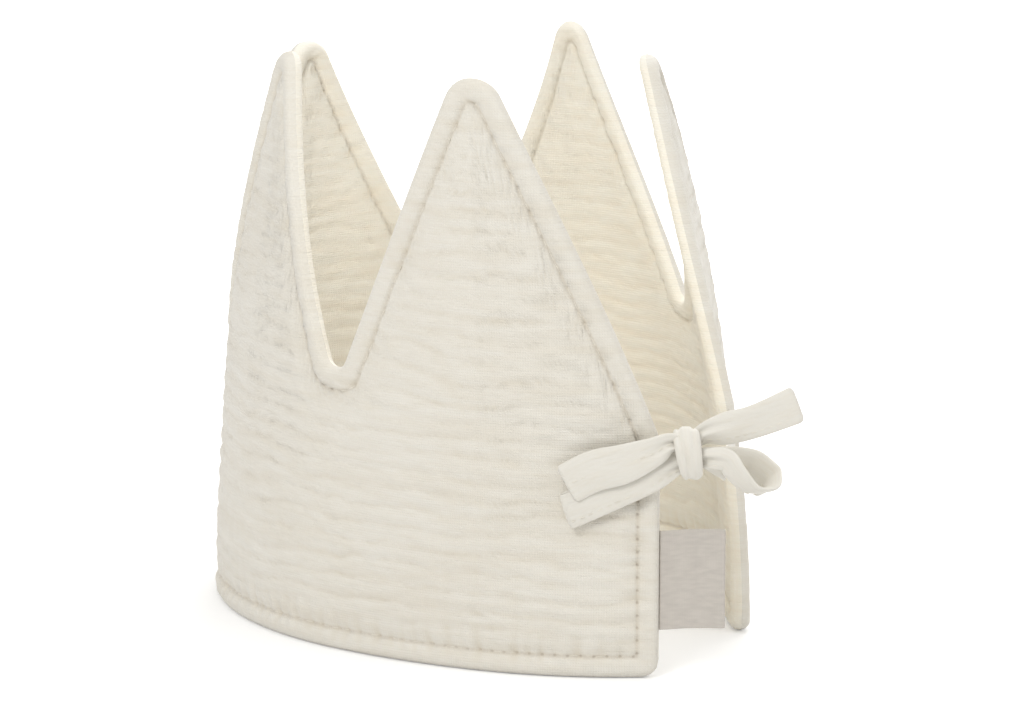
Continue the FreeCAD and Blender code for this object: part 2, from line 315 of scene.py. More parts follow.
    def stand(self, station, height, outward):
        """A point of the pattern on the standing crown, moved outward from the middle layer."""
        inward = station.lean * (max(height, 0.0) / self.apex_height) ** station.power
        raised = height + station.extra * max(height - self.band_height, 0.0) / self.point_rise
        return self.shift + station.foot + station.outer * (outward - inward) + Vector((0, 0, raised))

    def crinkles(self, x, z, side):
        """Sideways crinkles of the gauze at a place in mm: short ridges that wander and fade."""
        seed = 40.0 * side
        phase = z / (self.crinkle_pitch / MM) + 0.75 * ripple(x / 27, z / 15, seed)
        phase += 0.22 * ripple(x / 6, z / 5, seed + 3)
        cell = 0.75 + 0.9 * ripple(x / 10, z / 5, seed + 5)
        ridge = (abs(math.sin(math.pi * phase)) ** 0.65 - 0.62) * cell * 1.7
        ridge += abs(ripple(x / 9 + 9, z / 2.4, seed + 7)) * 0.8
        swell = ripple(x / 60, z / 30, seed + 11) * 1.2
        softer = 1.0 if side > 0 else 0.75
        return self.crinkle_height * softer * (ridge - 0.2 + swell)

    def puckers(self, around, inset, side):
        """Puckers beside the stitching, the tug of each stitch, and fine wrinkles across the hem."""
        seed = 40.0 * side
        from_groove = inset - self.hem_width
        turn, depth = around / MM, inset / MM
        pinch = 0.8 * ripple(turn / 16, seed + 31, 0)
        beat = math.cos(2 * math.pi * (around / self.pucker_pitch + pinch)) * 0.55
        beat += ripple(turn / 3.6, depth / 9, seed + 17) * 1.2
        reach = 2.4 * MM if from_groove < 0 else 4.2 * MM
        pucker = self.pucker_height * beat * bell(from_groove, reach)
        tug = 0.12 * MM * math.cos(2 * math.pi * around / self.stitch_pitch) * bell(from_groove, 0.8 * MM)
        wrinkle = 0.16 * MM * ripple(turn / 2.6, depth / 11, seed + 23)
        return pucker - tug + wrinkle * smooth_step(0, 0.2, inset / self.hem_width)

    def relief(self, along, height, inset, around, side):
        """Height of the crinkles and puckers above the smooth cloth. The hem has no crinkles."""
        open_cloth = smooth_step(0.0, self.pad_slope * 1.4, inset - self.hem_width)
        crinkled = self.crinkles(along / MM, height / MM, side) * open_cloth
        return crinkled + self.puckers(around, inset, side)

    def stitch_places(self):
        """Middle of each stitch of the hem: distance along, height, its direction, and place around."""
        inset, pitch, walk = self.hem_width, self.stitch_pitch, self.top_walk
        last = self.length - inset
        high = self.upper_edge(inset, inset)
        probe = 0.3 * MM
        places = []
        for i in range(int(walk[-1] / pitch)):
            around = (i + 0.5) * pitch
            if inset < around < last:
                places.append((around, inset, 1.0, 0.0, around))
            if inset + 1.0 * MM < around < high:
                places += [(inset, around, 0.0, 1.0, around), (last, around, 0.0, 1.0, around)]
            column = bisect.bisect(walk, around) - 1
            share = (around - walk[column]) / (walk[column + 1] - walk[column])
            along = self.length * (column + share) / COLUMNS
            if inset < along < last:
                rise = self.upper_edge(along + probe, inset) - self.upper_edge(along - probe, inset)
                reach = math.hypot(2 * probe, rise)
                height = self.upper_edge(along, inset)
                places.append((along, height, 2 * probe / reach, rise / reach, around))
        return places


def tied_up(piece, slot_name, *replaced):
    """Lets a finished piece ride with the crown and stand for its solids."""
    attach(piece, "root")
    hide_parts(*replaced)


def piece_from(shape, name, material):
    """Object at the origin from a bmesh, smooth shaded, with its one material."""
    mesh = bpy.data.meshes.new(name)
    shape.to_mesh(mesh)
    shape.free()
    mesh.shade_smooth()
    mesh.materials.append(material)
    piece = bpy.data.objects.new(name, mesh)
    bpy.context.scene.collection.objects.link(piece)
    return piece


def lay_flat(shape, layer, places):
    """Gives each corner of a mesh its place on the flat cloth, as a named UV layer."""
    uv = shape.loops.layers.uv.new(layer)
    for face in shape.faces:
        for loop in face.loops:
            loop[uv].uv = places[loop.vert.index]


class Nodes:
    """Short way to write a material or a world: each call adds a node and sets its inputs."""

    def __init__(self, owner):
        owner.use_nodes = True
        self.owner = owner
        self.tree = owner.node_tree
        self.tree.nodes.clear()

    def add(self, kind, inputs=None, **settings):
        node = self.tree.nodes.new("ShaderNode" + kind)
        for key, value in settings.items():
            setattr(node, key, value)
        for key, value in (inputs or {}).items():
            if isinstance(value, bpy.types.NodeSocket):
                self.tree.links.new(value, node.inputs[key])
            else:
                node.inputs[key].default_value = value
        return node

    def math(self, operation, first, second=0.0):
        return self.add("Math", {0: first, 1: second}, operation=operation).outputs[0]

    def scaled(self, coordinates, x, y):
        return self.add("Mapping", {"Vector": coordinates, "Scale": (x, y, 1.0)}).outputs["Vector"]

    def spread(self, value, low, high, start=0.0, end=1.0):
        inputs = {"Value": value, "From Min": low, "From Max": high, "To Min": start, "To Max": end}
        return self.add("MapRange", inputs).outputs["Result"]

    def noise(self, coordinates, scale, detail, roughness=0.5):
        inputs = {"Vector": coordinates, "Scale": scale, "Detail": detail, "Roughness": roughness}
        return self.add("TexNoise", inputs).outputs["Fac"]

    def mixed(self, factor, first, second):
        """Blend of two colours. Sockets 6, 7 and output 2 of this node are the ones for colours."""
        return self.add("Mix", {0: factor, 6: first, 7: second}, data_type="RGBA").outputs[2]

    def bump(self, height, distance, strength, normal=None):
        inputs = {"Height": height, "Distance": distance, "Strength": strength}
        if normal:
            inputs["Normal"] = normal
        return self.add("Bump", inputs).outputs["Normal"]

    def weave(self, coordinates, pitch):
        """Plain weave: two crossed sets of threads, as a height from 0 to 1."""
        scale = 2 * math.pi / 20 / pitch
        threads = []
        for direction in ("X", "Y"):
            inputs = {"Vector": coordinates, "Scale": scale, "Distortion": 1.2, "Detail": 2.0,
                      "Detail Scale": 0.35}
            threads.append(self.add("TexWave", inputs, bands_direction=direction).outputs["Fac"])
        return self.math("MULTIPLY", threads[0], threads[1])

    def finished(self, base, roughness, normal, sheen):
        inputs = {"Base Color": base, "Roughness": roughness, "Normal": normal}
        shader = self.add("BsdfPrincipled", inputs)
        shader.inputs["Sheen Weight"].default_value = sheen
        shader.inputs["Sheen Roughness"].default_value = 0.6
        shader.inputs["Specular IOR Level"].default_value = 0.25
        self.add("OutputMaterial", {"Surface": shader.outputs["BSDF"]})
        return self.owner


def opaque(shade):
    return (*shade, 1.0)


def seam_marks(n):
    """Shades of the needle holes and of the stitched groove, and the distance from the nearest hole."""
    seam = n.add("SeparateXYZ", {"Vector": n.add("UVMap", uv_map="seam").outputs["UV"]}).outputs
    pitch = sizes().stitch_pitch
    off_hole = n.math("MULTIPLY", n.math("PINGPONG", n.math("DIVIDE", seam["X"], pitch), 0.5), pitch)
    off_groove = n.math("ABSOLUTE", n.math("SUBTRACT", seam["Y"], sizes().hem_width))
    offset = n.add("CombineXYZ", {"X": off_hole, "Y": off_groove}).outputs[0]
    from_hole = n.add("VectorMath", {0: offset}, operation="LENGTH").outputs["Value"]
    pull = n.add("Attribute", attribute_name="pull").outputs["Fac"]
    hole = n.math("MULTIPLY", n.spread(from_hole, 0.12 * MM, 0.50 * MM, 1.0, 0.0), pull)
    groove = n.spread(off_groove, 0.10 * MM, 0.80 * MM, 0.30, 0.0)
    return hole, groove, from_hole


def gauze_material(name, base, darker_shade_and_tone):
    """Double gauze: plain weave shrunk into short, flat, sideways crinkles, with the hem's holes, and
    painted shade in its crinkles.
    """
    n = Nodes(bpy.data.materials.new(name))
    pattern = n.add("UVMap", uv_map="pattern").outputs["UV"]
    dip = n.add("Attribute", attribute_name="dip").outputs["Fac"]
    hole, groove, from_hole = seam_marks(n)
    patches = n.noise(n.scaled(pattern, 1, 1.6), 38, 3)
    streaks = n.noise(n.scaled(pattern, 90, 620), 1, 3, 0.6)
    shade_bands = n.noise(n.scaled(pattern, 22, 190), 1, 2, 0.5)
    crepe = n.noise(n.scaled(pattern, 300, 1300), 1, 2, 0.55)
    weave = n.weave(pattern, 0.62 * MM)
    shade_and_tone_mix = opaque(darker_shade_and_tone)
    shade = n.mixed(n.spread(patches, 0.35, 0.7, 0.0, 0.18), opaque(base), shade_and_tone_mix)
    # Painted shade: sideways bands and streaks at about the crinkles' pitch darken the colour as the
    # crinkles' shade would
    shade = n.mixed(n.spread(shade_bands, 0.48, 0.75, 0.0, 0.40), shade, shade_and_tone_mix)
    shade = n.mixed(n.spread(streaks, 0.42, 0.72, 0.0, 0.32), shade, shade_and_tone_mix)
    # Painted shade in the hollows of the crinkles and puckers
    shade = n.mixed(n.spread(dip, 0.0, 1.0, 0.0, 0.65), shade, shade_and_tone_mix)
    shade = n.mixed(n.spread(weave, 0.0, 0.35, 0.16, 0.0), shade, shade_and_tone_mix)
    shade = n.mixed(groove, shade, opaque(colours().groove))
    shade = n.mixed(hole, shade, opaque(colours().hole))
    normal = n.bump(streaks, 0.35 * MM, 0.6)
    normal = n.bump(crepe, 0.16 * MM, 0.7, normal)
    normal = n.bump(weave, 0.09 * MM, 0.7, normal)
    normal = n.bump(n.spread(from_hole, 0.1 * MM, 0.7 * MM), 0.15 * MM, 0.6, normal)
    return n.finished(shade, 0.92, normal, 0.3)


def cotton_material():
    """Smooth, closely woven tie cotton with faint slubs and painted shade in its creases."""
    n = Nodes(bpy.data.materials.new("tie_cloth"))
    run = n.add("UVMap", uv_map="run").outputs["UV"]
    slubs = n.noise(n.scaled(run, 120, 1500), 1, 2)
    creases = n.noise(n.scaled(run, 110, 420), 1, 3, 0.6)
    grain = n.noise(n.scaled(run, 2400, 2400), 1, 2)
    warm = opaque(colours().gauze_dip)
    shade = n.mixed(n.spread(slubs, 0.4, 0.75, 0.0, 0.25), opaque(colours().cotton), warm)
    # Painted shade: the cloth darkens along the creases, whose noise also gives the bump below
    shade = n.mixed(n.spread(creases, 0.5, 0.78, 0.0, 0.30), shade, warm)
    normal = n.bump(creases, 0.5 * MM, 0.6)
    normal = n.bump(grain, 0.04 * MM, 0.5, normal)
    return n.finished(shade, 0.85, normal, 0.25)


def thread_material():
    """Twisted sewing thread."""
    n = Nodes(bpy.data.materials.new("sewing_thread"))
    place = n.add("TexCoord").outputs["Object"]
    twist = n.noise(place, 2600, 1)
    warm = opaque(colours().gauze_dip)
    shade = n.mixed(n.spread(twist, 0.35, 0.7, 0.0, 0.35), opaque(colours().thread), warm)
    return n.finished(shade, 0.6, n.bump(twist, 0.08 * MM, 0.6), 0.15)


def label_material():
    """Taupe woven ribbon with fine cross ribs."""
    n = Nodes(bpy.data.materials.new("label_weave"))
    run = n.add("UVMap", uv_map="run").outputs["UV"]
    ribs = n.weave(n.scaled(run, 1.0, 1.25), 0.42 * MM)
    mottle = n.noise(n.scaled(run, 260, 900), 1, 3)
    darker = tuple(channel * 0.86 for channel in colours().label)
    shade = n.mixed(n.spread(mottle, 0.35, 0.7), opaque(colours().label), opaque(darker))
    shade = n.mixed(n.spread(ribs, 0.0, 0.4, 0.4, 0.0), shade, opaque(darker))
    return n.finished(shade, 0.7, n.bump(ribs, 0.06 * MM, 0.7), 0.2)


def edge_levels(band):
    """Insets of the rows across the hem and the slope of the padding."""
    hem = [band.hem_width * (i / HEM_ROWS) ** 1.15 for i in range(HEM_ROWS)]
    slope = [band.hem_width + band.pad_slope * i / SLOPE_ROWS for i in range(SLOPE_ROWS)]
    return hem + slope


def cloth_place(band, along, row, levels):
    """Height, inset from the outline, place around the seam and pull of the holes at a row of the mesh."""
    edge_width = band.hem_width + band.pad_slope
    foot = band.lower_edge(along)
    pulled = TOP_PULL
    if row < len(levels):
        inset, around = levels[row], along
        height = foot + inset
        pulled = NEAR_PULL + (FAR_PULL - NEAR_PULL) * smooth_step(10 * MM, 80 * MM, along)
    elif row > ROWS - len(levels):
        inset = levels[ROWS - row]
        height = band.upper_edge(along, inset)
        around = band.around_top(along, inset)
    else:
        low, high = foot + edge_width, band.upper_edge(along, edge_width)
        height = low + (high - low) * (row - len(levels)) / (ROWS - 2 * len(levels))
        inset, around = band.nearest_seam(along, height)
        inset = max(inset, edge_width)
    from_end = min(along, band.length - along)
    if from_end < inset:
        inset, around, pulled = from_end, height, END_PULL
    return height, inset, around, pulled


def cloth_piece(band, name, side, material):
    """One cloth of the band, from outline to outline. Side is 1 for the outer cloth, -1 for the lining."""
    shape = bmesh.new()
    bmesh.ops.create_grid(shape, x_segments=COLUMNS, y_segments=ROWS, size=1.0)
    dip = shape.verts.layers.float.new("dip")
    pull = shape.verts.layers.float.new("pull")
    levels = edge_levels(band)
    stations = [band.station(band.length * i / COLUMNS) for i in range(COLUMNS + 1)]
    flat, seamed = {}, {}
    for vertex in shape.verts:
        station = stations[round((vertex.co.x + 1) / 2 * COLUMNS)]
        row = round((vertex.co.y + 1) / 2 * ROWS)
        height, inset, around, pulled = cloth_place(band, station.along, row, levels)
        raised = band.relief(station.along, height, inset, around, side)
        outward = band.half_thickness(inset) + raised * smooth_step(0.0, 1.2 * MM, inset)
        vertex.co = band.stand(station, height, side * outward)
        # Painted shade: where the crinkles and puckers sink below the smooth cloth, this layer darkens the
        # colour
        vertex[dip] = min(max(-raised / band.crinkle_height * 0.6, 0.0), 1.0)
        vertex[pull] = pulled
        flat[vertex.index] = (station.along, height)
        seamed[vertex.index] = (around, inset)
    if side > 0:
        bmesh.ops.reverse_faces(shape, faces=shape.faces[:])
    lay_flat(shape, "pattern", flat)
    lay_flat(shape, "seam", seamed)
    return piece_from(shape, name, material)


class CROWN_OT_band_cloth(Operator):
    """Sews the outer cloth and the lining of the band"""
    bl_idname = "crown.band_cloth"
    bl_label = "Band Cloth"

    def execute(self, context):
        band = Band()
        outer_gauze = gauze_material("outer_gauze", colours().gauze, colours().gauze_dip)
        # The lining's colours are painted lighter as painted light
        lining_gauze = gauze_material("lining_gauze", colours().lining, colours().lining_dip)
        outer = cloth_piece(band, "outer_cloth", 1, outer_gauze)
        lining = cloth_piece(band, "lining_cloth", -1, lining_gauze)
        for piece in (outer, lining):
            tied_up(piece, "crinkled_gauze", "crown_band")
        return {"FINISHED"}


def add_stitch(shape, start, end, out, thickness):
    """A short thread from hole to hole, lying on the cloth, its two ends sunk in."""
    forward = (end - start).normalized()
    across = forward.cross(out).normalized()
    turn = Matrix((across, across.cross(forward), forward)).transposed().to_4x4()
    size = Matrix.Diagonal((thickness / 2, thickness / 2, (end - start).length / 2, 1.0))
    place = Matrix.Translation((start + end) / 2) @ turn @ size
    bmesh.ops.create_uvsphere(shape, u_segments=6, v_segments=6, radius=1.0, matrix=place)


class CROWN_OT_hem_stitches(Operator):
    """Top-stitches the hem all round, on both cloths"""
    bl_idname = "crown.hem_stitches"
    bl_label = "Hem Stitches"

    def execute(self, context):
        band = Band()
        material = thread_material()
        half = band.stitch_length / 2
        proud = band.half_thickness(band.hem_width) + band.thread_thickness * 0.35
        for name, side in (("hem_stitches_outside", 1), ("hem_stitches_inside", -1)):
            shape = bmesh.new()
            for along, height, run, rise, around in band.stitch_places():
                ends = []
                for step in (-half, half):
                    station = band.station(min(max(along + run * step, 0.0), band.length))
                    level = height + rise * step
                    raised = band.relief(station.along, level, band.hem_width, around + step, side)
                    ends.append(band.stand(station, level, side * (proud + raised)))
                add_stitch(shape, *ends, band.station(along).outer * side, band.thread_thickness)
            tied_up(piece_from(shape, name, material), "tie_cotton")
        return {"FINISHED"}


# The bow: its knot from the foot of the near end, and pairs of upper and lower edge points of each run,
# in mm from the knot's centre
KNOT_PLACE = Vector((7.5, -5.8, 57.6)) * MM
LEFT_TAIL = (
    ((-1.6, -0.4, 3.6), (-1.6, -0.4, 0.9)), ((-5.4, -1.8, 5.6), (-5.2, -1.8, 0.2)),
    ((-10.0, -2.4, 4.4), (-9.5, -2.4, -3.3)), ((-17.3, -2.2, 2.7), (-16.3, -2.2, -7.2)),
    ((-24.7, -1.6, 1.0), (-22.6, -1.6, -9.2)), ((-33.0, -0.9, -3.2), (-28.1, -0.9, -12.3)))
LEFT_LOOP = (
    ((-1.7, 1.7, 0.3), (-1.5, 1.7, -4.2)), ((-7.5, 1.3, 0.3), (-7.0, 1.3, -7.9)),
    ((-12.4, 1.2, -2.1), (-11.6, 1.2, -10.4)), ((-22.2, 1.5, -6.1), (-20.4, 1.5, -14.6)),
    ((-30.0, 2.0, -9.8), (-27.7, 2.0, -18.4)), ((-31.5, 1.2, -10.5), (-29.1, 1.2, -19.1)),
    ((-30.0, 0.3, -9.9), (-27.7, 0.3, -18.5)), ((-22.2, -0.1, -6.5), (-20.5, -0.1, -15.1)),
    ((-12.4, -0.4, -2.3), (-11.7, -0.4, -10.8)), ((-7.5, -0.2, 0.2), (-7.0, -0.2, -8.0)),
    ((-1.7, 0.7, 0.4), (-1.5, 0.7, -4.2)))
RIGHT_TAIL = (
    ((-0.7, 1.0, 4.6), (1.0, 1.0, 0.6)), ((2.7, 2.2, 7.3), (4.2, 2.0, 1.9)),
    ((7.4, 3.0, 9.5), (9.4, 2.4, 1.8)), ((14.8, 5.2, 11.1), (16.8, 4.6, 3.1)),
    ((25.0, 8.6, 15.2), (28.2, 8.0, 6.4)))
RIGHT_LOOP = (
    ((1.6, 0.6, 1.4), (1.6, 0.4, -3.0)), ((7.7, 2.5, 1.2), (6.7, 4.0, -4.6)),
    ((13.5, 3.5, 0.8), (11.0, 7.0, -7.4)), ((17.9, 3.5, -0.4), (13.4, 9.0, -8.6)),
    ((21.8, 2.0, -3.6), (16.6, 8.3, -10.0)), ((22.2, 0.0, -5.7), (17.0, 7.0, -10.8)),
    ((21.0, -2.5, -8.1), (16.1, 4.5, -10.8)), ((17.0, -4.5, -7.4), (12.1, 2.0, -9.6)),
    ((12.5, -4.5, -1.9), (9.0, 0.0, -6.1)), ((9.3, -3.2, 1.6), (7.0, -0.7, -3.8)),
    ((1.6, -0.6, 1.0), (1.6, -0.9, -3.4)))
NEAR_LEAD = (
    ((-7.5, 5.8, 0.9), (-7.5, 5.8, -7.1)), ((-5.0, 4.9, 1.6), (-5.0, 4.9, -5.2)),
    ((-3.2, 2.8, 3.6), (-3.0, 2.8, -2.2)), ((-0.6, 2.2, 4.4), (-0.6, 2.2, 0.4)))


def between(points, place):
    """Point at a place, counted in points, on the smooth line through all of them."""
    i = min(int(place), len(points) - 2)
    t = place - i
    before, after = points[max(i - 1, 0)], points[min(i + 2, len(points) - 1)]
    near, far = points[i], points[i + 1]
    return (near * 2 + (far - before) * t + (before * 2 - near * 5 + far * 4 - after) * t ** 2
            + (near * 3 - before - far * 3 + after) * t ** 3) / 2


def even_spots(points, step):
    """Evenly spaced places on the smooth line through all points, counted in points, and its length."""
    last = len(points) - 1
    fine = [between(points, last * i / WALK_STEPS) for i in range(WALK_STEPS + 1)]
    travelled = [0.0]
    for near, far in zip(fine, fine[1:]):
        travelled.append(travelled[-1] + (far - near).length)
    total = travelled[-1]
    count = max(8, round(total / step))
    spots, k = [], 0
    for i in range(count + 1):
        target = total * i / count
        while k < WALK_STEPS - 1 and travelled[k + 1] < target:
            k += 1
        share = (target - travelled[k]) / max(travelled[k + 1] - travelled[k], 1e-9)
        spots.append(last * (k + min(share, 1.0)) / WALK_STEPS)
    return spots, total


def heading_at(centres, spot, closed):
    """Direction of a tube's middle line. Where a closed tube meets itself, both sides share one."""
    last = len(centres) - 1
    reach = 0.02 * last
    ahead = between(centres, min(spot + reach, last))
    behind = between(centres, max(spot - reach, 0.0))
    if closed and (spot < reach or spot > last - reach):
        ahead, behind = between(centres, reach), between(centres, last - reach)
    return (ahead - behind).normalized()


def flat_tube(shape, uppers, lowers, fold, thickness, step, end_radius=0.0, closed=False):
    """Flattened cloth tube between two edge lines. Fold gives the waviness of its middle layer."""
    centres = [(upper + lower) / 2 for upper, lower in zip(uppers, lowers)]
    spots, total = even_spots(centres, step)
    runs = len(spots) - 1
    made = bmesh.ops.create_grid(shape, x_segments=runs, y_segments=TIE_ROUNDS, size=1.0)["verts"]
    uv = shape.loops.layers.uv.verify()
    flat = {}
    for vertex in made:
        i = round((vertex.co.x + 1) / 2 * runs)
        angle = math.pi * (vertex.co.y + 1)
        upper, lower = between(uppers, spots[i]), between(lowers, spots[i])
        forward = heading_at(centres, spots[i], closed)
        across = upper - lower
        across = (across - forward * across.dot(forward)).normalized()
        half = (upper - lower).length / 2
        run = total * i / runs
        from_end = total - run
        thin = 1.0 if closed else math.sqrt(smooth_step(0.0, 0.7 * MM, min(run, from_end)))
        if from_end < end_radius:
            half -= end_radius - math.sqrt(max(end_radius ** 2 - (end_radius - from_end) ** 2, 0.0))
        spread = math.cos(angle)
        puff = math.sqrt(max(1 - spread ** 4, 0.0)) * (1 if math.sin(angle) > 0 else -1)
        depth = thickness / 2 * thin * puff + fold(spread, run, total)
        vertex.co = (upper + lower) / 2 + across * half * spread + forward.cross(across) * depth
        flat[vertex] = (run, spread * half)
    for face in {face for vertex in made for face in vertex.link_faces}:
        for loop in face.loops:
            loop[uv].uv = flat[loop.vert]


def gathers(near_depth, far_depth, folds, phase):
    """Pleats of a tie, deep where it enters the knot and fading along its run."""
    reach = 7.0 * MM

    def fold(spread, run, total):
        wave = math.sin(math.pi * folds * spread + phase)
        wave += 0.4 * math.sin(math.pi * folds * 1.9 * spread + 2)
        drift = ripple(run / (9 * MM), spread * 0.8, phase) * 0.45 * MM
        return (near_depth * bell(run, reach) + far_depth * bell(total - run, reach)) * wave + drift
    return fold


def tie_stitches(shape, uppers, lowers, share, band):
    """Row of small stitches along a tie, at a share of its width from the upper edge, on both faces."""
    line = [upper + (lower - upper) * share for upper, lower in zip(uppers, lowers)]
    last = len(line) - 1
    first_spot, last_spot = 0.12 * last, 0.97 * last
    places = [last * i / STITCH_WALK_STEPS for i in range(STITCH_WALK_STEPS + 1)]
    fine = [(between(line, place), place) for place in places]
    since = 0.0
    for (near, _), (far, spot) in zip(fine, fine[1:]):
        since += (far - near).length
        if since < TIE_STITCH_PITCH or not first_spot < spot < last_spot:
            continue
        since = 0.0
        forward = (far - near).normalized()
        across = (between(uppers, spot) - between(lowers, spot)).normalized()
        half = forward * TIE_STITCH_LENGTH / 2
        for out in (-forward.cross(across), forward.cross(across)):
            middle = far + out * band.tie_thickness / 2
            add_stitch(shape, middle - half, middle + half, out, band.thread_thickness * 0.8)


def edges_at(band, pairs):
    """Upper and lower edge points of a tie's run, on the standing crown."""
    knot = band.shift + KNOT_PLACE
    return ([knot + Vector(upper) * MM for upper, lower in pairs],
            [knot + Vector(lower) * MM for upper, lower in pairs])


def closed_up(shape):
    bmesh.ops.remove_doubles(shape, verts=shape.verts[:], dist=0.01 * MM)
    bmesh.ops.recalc_face_normals(shape, faces=shape.faces[:])


def tie_piece(name, runs, band, material, replaced):
    """One tie from its runs, a sewn tube that is flat in the hand."""
    shape = bmesh.new()
    shape.loops.layers.uv.new("run")
    for i, run in enumerate(runs):
        uppers, lowers = edges_at(band, run.edges)
        fold = gathers(run.near_pleats * MM, run.far_pleats * MM, run.folds, i * 1.3)
        flat_tube(shape, uppers, lowers, fold, band.tie_thickness, TIE_STEP, run.end_radius * MM)
    closed_up(shape)
    piece = piece_from(shape, name, material)
    tied_up(piece, "tie_cotton", replaced)


class CROWN_OT_ties(Operator):
    """Lays the runs of the two ties: leads, loops and tails"""
    bl_idname = "crown.ties"
    bl_label = "Ties"

    def execute(self, context):
        band = Band()
        material = cotton_material()
        near_runs = (Run(NEAR_LEAD, 0.0, 0.5, 1.5, 0.0), Run(LEFT_LOOP, 0.6, 0.6, 1.6, 0.0),
                     Run(RIGHT_TAIL, 0.7, 0.0, 1.7, 1.4))
        far_runs = (Run(far_lead(band), 0.0, 0.4, 1.5, 0.0), Run(LEFT_TAIL, 0.8, 0.0, 1.5, 1.2),
                    Run(RIGHT_LOOP, 0.5, 0.6, 1.4, 0.0))
        tie_piece("near_tie_runs", near_runs, band, material, "near_tie")
        tie_piece("far_tie_runs", far_runs, band, material, "far_tie")
        shape = bmesh.new()
        for pairs, share in ((LEFT_TAIL, 0.52), (RIGHT_TAIL, 0.8), (LEFT_LOOP, 0.8), (RIGHT_LOOP, 0.8)):
            uppers, lowers = edges_at(band, pairs)
            tie_stitches(shape, uppers, lowers, share, band)
        tied_up(piece_from(shape, "tie_stitches", thread_material()), "tie_cotton")
        return {"FINISHED"}


def far_lead(band):
    """Edge points of the stretch from the far end to the right mouth of the knot, in mm from its centre."""
    knot = band.shift + KNOT_PLACE
    far_end = band.station(band.length)
    root = (band.stand(far_end, band.band_height - 5.5 * MM, 0.0) - knot) / MM
    leaves = Vector((far_end.outer.y, -far_end.outer.x, 0))
    pairs = []
    for centre, width in ((root, 8.0), (root + leaves * 6, 8.0), (Vector((9.0, 16.0, -6.0)), 7.0),
                          (Vector((7.4, 6.5, -4.6)), 5.4), (Vector((4.6, 2.4, -2.6)), 4.2),
                          (Vector((1.8, 0.5, -1.4)), 3.6)):
        up = Vector((0, 0, width / 2))
        pairs.append((centre + up, centre - up))
    return pairs


def knot_fold(spread, run, total):
    """Waviness of the wrap: crowned across its width, with one long pleat, one short and some slack."""
    turn = 2 * math.pi * run / total
    crown = 0.75 * (1 - abs(spread) ** 2.6) - 0.35
    long_pleat = -0.5 * bell(spread + 0.42 + 0.2 * math.sin(turn + 0.6), 0.13)
    short_pleat = -0.3 * bell(spread - 0.25 - 0.25 * math.sin(turn), 0.12)
    slack = 0.22 * ripple(math.cos(turn), math.sin(turn), spread * 2.5)
    return (crown + long_pleat + short_pleat + slack) * MM


class CROWN_OT_knot(Operator):
    """Wraps the near tie once round the far tie"""
    bl_idname = "crown.knot"
    bl_label = "Knot"

    def execute(self, context):
        knot = Band().shift + KNOT_PLACE
        uppers, lowers = [], []
        for i in range(KNOT_TURNS + 1):
            angle = 2 * math.pi * i / KNOT_TURNS
            back, up = math.cos(angle), math.sin(angle)
            ring = Vector((-0.45 - 0.75 * up, 3.5 * back, 5.35 * up + 0.25 * back))
            half = Vector((2.9 + 0.35 * up - 0.25 * back, 0, 0))
            uppers.append(knot + (ring + half) * MM)
            lowers.append(knot + (ring - half) * MM)
        cotton = bpy.data.materials["tie_cloth"]
        shape = bmesh.new()
        shape.loops.layers.uv.new("run")
        flat_tube(shape, uppers, lowers, knot_fold, KNOT_THICKNESS, KNOT_STEP, closed=True)
        closed_up(shape)
        tied_up(piece_from(shape, "knot_wrap", cotton), "tie_cotton", "near_tie")
        core = bmesh.new()
        core.loops.layers.uv.new("run")
        place = Matrix.Translation(knot + Vector((-0.4, 0.2, -0.4)) * MM)
        size = Matrix.Diagonal((2.7 * MM, 2.4 * MM, 4.4 * MM, 1.0))
        bmesh.ops.create_uvsphere(core, u_segments=32, v_segments=20, radius=1.0, matrix=place @ size)
        tied_up(piece_from(core, "knot_core", cotton), "tie_cotton", "far_tie")
        return {"FINISHED"}


def ribbon_rise(row, width):
    """Height across the ribbon of a row of its mesh, with two close rows at each selvage."""
    body = min(max(row - SELVAGE_ROWS, 0) / (LABEL_RISES - 2 * SELVAGE_ROWS), 1.0)
    edges = min(row, SELVAGE_ROWS) + max(row - LABEL_RISES + SELVAGE_ROWS, 0)
    return body * (width - 2 * SELVAGE) + SELVAGE * edges / SELVAGE_ROWS


def ribbon_spot(run, straight, radius, offset):
    """Reach from the seam and depth from the middle at a distance along the ribbon, round its fold."""
    beyond = run - straight
    if beyond < 0:
        return run, radius + offset
    if beyond > math.pi * radius:
        return straight + math.pi * radius - beyond, -radius - offset
    angle = beyond / radius
    return straight + (radius + offset) * math.sin(angle), (radius + offset) * math.cos(angle)


